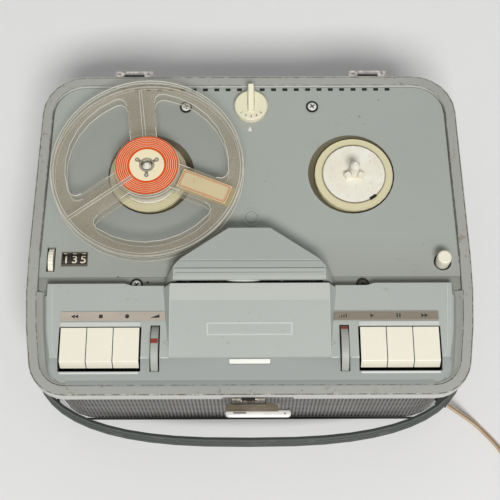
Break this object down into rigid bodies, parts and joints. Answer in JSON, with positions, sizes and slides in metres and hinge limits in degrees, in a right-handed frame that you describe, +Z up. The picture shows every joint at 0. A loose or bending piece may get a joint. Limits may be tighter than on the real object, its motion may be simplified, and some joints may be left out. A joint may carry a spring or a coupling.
{
  "type": "reel-to-reel tape recorder",
  "caption": "Portable reel-to-reel tape recorder with a bowed case, piano keys, head cover, two turntables, one clear reel, a swinging handle and a mains cord.",
  "frame": {"origin": "on the floor, under the middle of the recorder's footprint, handle and hinges included, cord and plug left out", "axes": "+Z up; -Y towards the front with the keys and the handle; +X towards the take-up side, on the right when seen from the front"},
  "size_m": [0.5082, 0.3248, 0.1328],
  "materials": {
    "deck_grey": "satin grey-green paint",
    "panel_grey": "semi-gloss light grey-green",
    "rim_grey": "semi-gloss warm grey",
    "case_covering": "grained dark grey",
    "grille_metal": "ribbed and perforated, dark grey",
    "dark_plastic": "dark",
    "rubber": "matte",
    "cream_plastic": "semi-gloss cream",
    "frosted_plastic": "frosted",
    "clear_plastic": "clear, slightly smoky",
    "orange_label": "printed paper",
    "paper": "aged paper",
    "strip_left": "printed strip",
    "strip_right": "printed strip",
    "milk_glass": "milky",
    "thumbwheel_grey": "knurled",
    "chrome": "polished",
    "steel": "zinc plated",
    "brass": "turned",
    "motor_grey": "hammered",
    "core_iron": "varnished laminations",
    "speaker_steel": "grey",
    "board_brown": "phenolic board",
    "handle_plastic": "soft dark plastic",
    "cord_tan": "smooth tan",
    "plug_tan": "moulded tan"
  },
  "bodies": {
    "case": {"bottom_cover": "dark_plastic", "case_tub": "case_covering", "chassis_plate": "steel", "circuit_board": "board_brown", "control_panel": "panel_grey", "cord_coil": "cord_tan", "cord_run": "cord_tan", "counter_frame": "dark_plastic", "deck_plate": "deck_grey", "drive_belt": "rubber", "erase_head": "chrome", "foot_front_left": "rubber", "foot_front_right": "rubber", "foot_rear_left": "rubber", "foot_rear_right": "rubber", "head_plate": "steel", "key_shaft": "steel", "label_strip_left": "strip_left", "label_strip_right": "strip_right", "latch_bracket": "chrome", "level_indicator": "milk_glass", "loudspeaker": "speaker_steel", "mains_plug": "plug_tan", "motor_housing": "motor_grey", "rear_hinge_left": "chrome", "rear_hinge_right": "chrome", "record_play_head": "chrome", "rim_frame": "rim_grey", "speaker_grille": "grille_metal", "strain_relief": "rubber", "transformer": "core_iron"},
    "handle": {"handle": "handle_plastic"},
    "latch_lever": {"latch_lever": "chrome"},
    "head_cover": {"head_cover": "panel_grey"},
    "selector_knob": {"selector_knob": "cream_plastic"},
    "push_button": {"push_button": "cream_plastic"},
    "level_wheel": {"level_wheel": "thumbwheel_grey"},
    "tone_wheel": {"tone_wheel": "thumbwheel_grey"},
    "reset_wheel": {"reset_wheel": "cream_plastic"},
    "drum_hundreds": {"drum_hundreds": "dark_plastic"},
    "drum_tens": {"drum_tens": "dark_plastic"},
    "drum_units": {"drum_units": "dark_plastic"},
    "supply_table": {"supply_turntable": "cream_plastic", "supply_disc": "cream_plastic"},
    "reel": {"reel_lower_flange": "clear_plastic", "reel_upper_flange": "clear_plastic", "reel_label": "orange_label", "paper_label": "paper"},
    "takeup_table": {"takeup_turntable": "cream_plastic", "takeup_disc": "frosted_plastic"},
    "flywheel": {"flywheel": "steel"},
    "motor_pulley": {"motor_pulley": "brass"},
    "pinch_arm": {"pinch_arm": "steel"},
    "pinch_roller": {"pinch_roller": "rubber"},
    "key_rewind": {"key_rewind": "cream_plastic"},
    "key_stop": {"key_stop": "cream_plastic"},
    "key_record": {"key_record": "cream_plastic"},
    "key_start": {"key_start": "cream_plastic"},
    "key_pause": {"key_pause": "cream_plastic"},
    "key_wind": {"key_wind": "cream_plastic"}
  },
  "joints": [
    {"name": "handle_swing", "type": "hinge", "parent": "case", "child": "handle", "pos_m": [0, -0.0707, 0.051], "axis": [1, 0, 0], "range_deg": [-20, 20]},
    {"name": "latch_swing", "type": "hinge", "parent": "case", "child": "latch_lever", "pos_m": [-0.001, -0.1251, 0.1018], "axis": [-1, 0, 0], "range_deg": [0, 90]},
    {"name": "head_cover_lift", "type": "slide", "parent": "case", "child": "head_cover", "axis": [0, 0, 1], "range_m": [0, 0.03]},
    {"name": "selector_turn", "type": "hinge", "parent": "case", "child": "selector_knob", "pos_m": [0.0016, 0.1133, 0.111], "axis": [0, 0, -1], "range_deg": [-36, 36]},
    {"name": "push_button_press", "type": "slide", "parent": "case", "child": "push_button", "axis": [0, 0, -1], "range_m": [0, 0.005], "stiffness_N_per_m": 150, "springref_m": -0.002},
    {"name": "key_rewind_press", "type": "hinge", "parent": "case", "child": "key_rewind", "pos_m": [-0.1305, -0.0655, 0.099], "axis": [1, 0, 0], "range_deg": [0, 5.5], "stiffness_Nm_per_rad": 0.25, "springref_deg": -3.44},
    {"name": "key_stop_press", "type": "hinge", "parent": "case", "child": "key_stop", "pos_m": [-0.1109, -0.0655, 0.099], "axis": [1, 0, 0], "range_deg": [0, 5.5], "stiffness_Nm_per_rad": 0.25, "springref_deg": -3.44},
    {"name": "key_record_press", "type": "hinge", "parent": "case", "child": "key_record", "pos_m": [-0.0913, -0.0655, 0.099], "axis": [1, 0, 0], "range_deg": [0, 5.5], "stiffness_Nm_per_rad": 0.25, "springref_deg": -3.44},
    {"name": "key_start_press", "type": "hinge", "parent": "case", "child": "key_start", "pos_m": [0.0913, -0.0655, 0.099], "axis": [1, 0, 0], "range_deg": [0, 5.5], "stiffness_Nm_per_rad": 0.25, "springref_deg": -3.44},
    {"name": "key_pause_press", "type": "hinge", "parent": "case", "child": "key_pause", "pos_m": [0.1109, -0.0655, 0.099], "axis": [1, 0, 0], "range_deg": [0, 5.5], "stiffness_Nm_per_rad": 0.25, "springref_deg": -3.44},
    {"name": "key_wind_press", "type": "hinge", "parent": "case", "child": "key_wind", "pos_m": [0.1305, -0.0655, 0.099], "axis": [1, 0, 0], "range_deg": [0, 5.5], "stiffness_Nm_per_rad": 0.25, "springref_deg": -3.44},
    {"name": "level_turn", "type": "hinge", "parent": "case", "child": "level_wheel", "pos_m": [-0.0701, -0.0878, 0.1042], "axis": [-1, 0, 0], "range_deg": [-135, 135]},
    {"name": "tone_turn", "type": "hinge", "parent": "case", "child": "tone_wheel", "pos_m": [0.0701, -0.0878, 0.1042], "axis": [-1, 0, 0], "range_deg": [-135, 135]},
    {"name": "counter_reset", "type": "hinge", "parent": "case", "child": "reset_wheel", "pos_m": [-0.1526, -0.0169, 0.1034], "axis": [1, 0, 0], "continuous": true},
    {"name": "supply_spin", "type": "hinge", "parent": "case", "child": "supply_table", "pos_m": [-0.08, 0.0544, 0.111], "axis": [0, 0, 1], "continuous": true},
    {"name": "reel_lift", "type": "slide", "parent": "supply_table", "child": "reel", "axis": [0, 0, 1], "range_m": [0, 0.035]},
    {"name": "takeup_spin", "type": "hinge", "parent": "case", "child": "takeup_table", "pos_m": [0.0832, 0.0544, 0.111], "axis": [0, 0, 1], "continuous": true},
    {"name": "drum_hundreds_turn", "type": "hinge", "parent": "case", "child": "drum_hundreds", "pos_m": [-0.1411, -0.0169, 0.1034], "axis": [1, 0, 0], "continuous": true},
    {"name": "drum_tens_turn", "type": "hinge", "parent": "case", "child": "drum_tens", "pos_m": [-0.1345, -0.0169, 0.1034], "axis": [1, 0, 0], "continuous": true},
    {"name": "drum_units_turn", "type": "hinge", "parent": "case", "child": "drum_units", "pos_m": [-0.1279, -0.0169, 0.1034], "axis": [1, 0, 0], "continuous": true},
    {"name": "flywheel_spin", "type": "hinge", "parent": "case", "child": "flywheel", "pos_m": [0.024, -0.0387, 0.055], "axis": [0, 0, 1], "continuous": true},
    {"name": "motor_spin", "type": "hinge", "parent": "case", "child": "motor_pulley", "pos_m": [0.0016, 0.0544, 0.057], "axis": [0, 0, 1], "continuous": true},
    {"name": "pinch_arm_swing", "type": "hinge", "parent": "case", "child": "pinch_arm", "pos_m": [0.045, -0.0507, 0.1118], "axis": [0, 0, -1], "range_deg": [0, 10]},
    {"name": "pinch_roller_spin", "type": "hinge", "parent": "pinch_arm", "child": "pinch_roller", "pos_m": [0.024, -0.0509, 0.1142], "axis": [0, 0, 1], "continuous": true}
  ],
  "couplings": [
    {"joint": "drum_hundreds_turn", "follows": "supply_spin", "ratio": 0.001},
    {"joint": "drum_tens_turn", "follows": "supply_spin", "ratio": 0.01},
    {"joint": "drum_units_turn", "follows": "supply_spin", "ratio": 0.1},
    {"joint": "motor_spin", "follows": "flywheel_spin", "ratio": 6.6},
    {"joint": "pinch_arm_swing", "follows": "key_start_press", "ratio": 1.8}
  ]
}
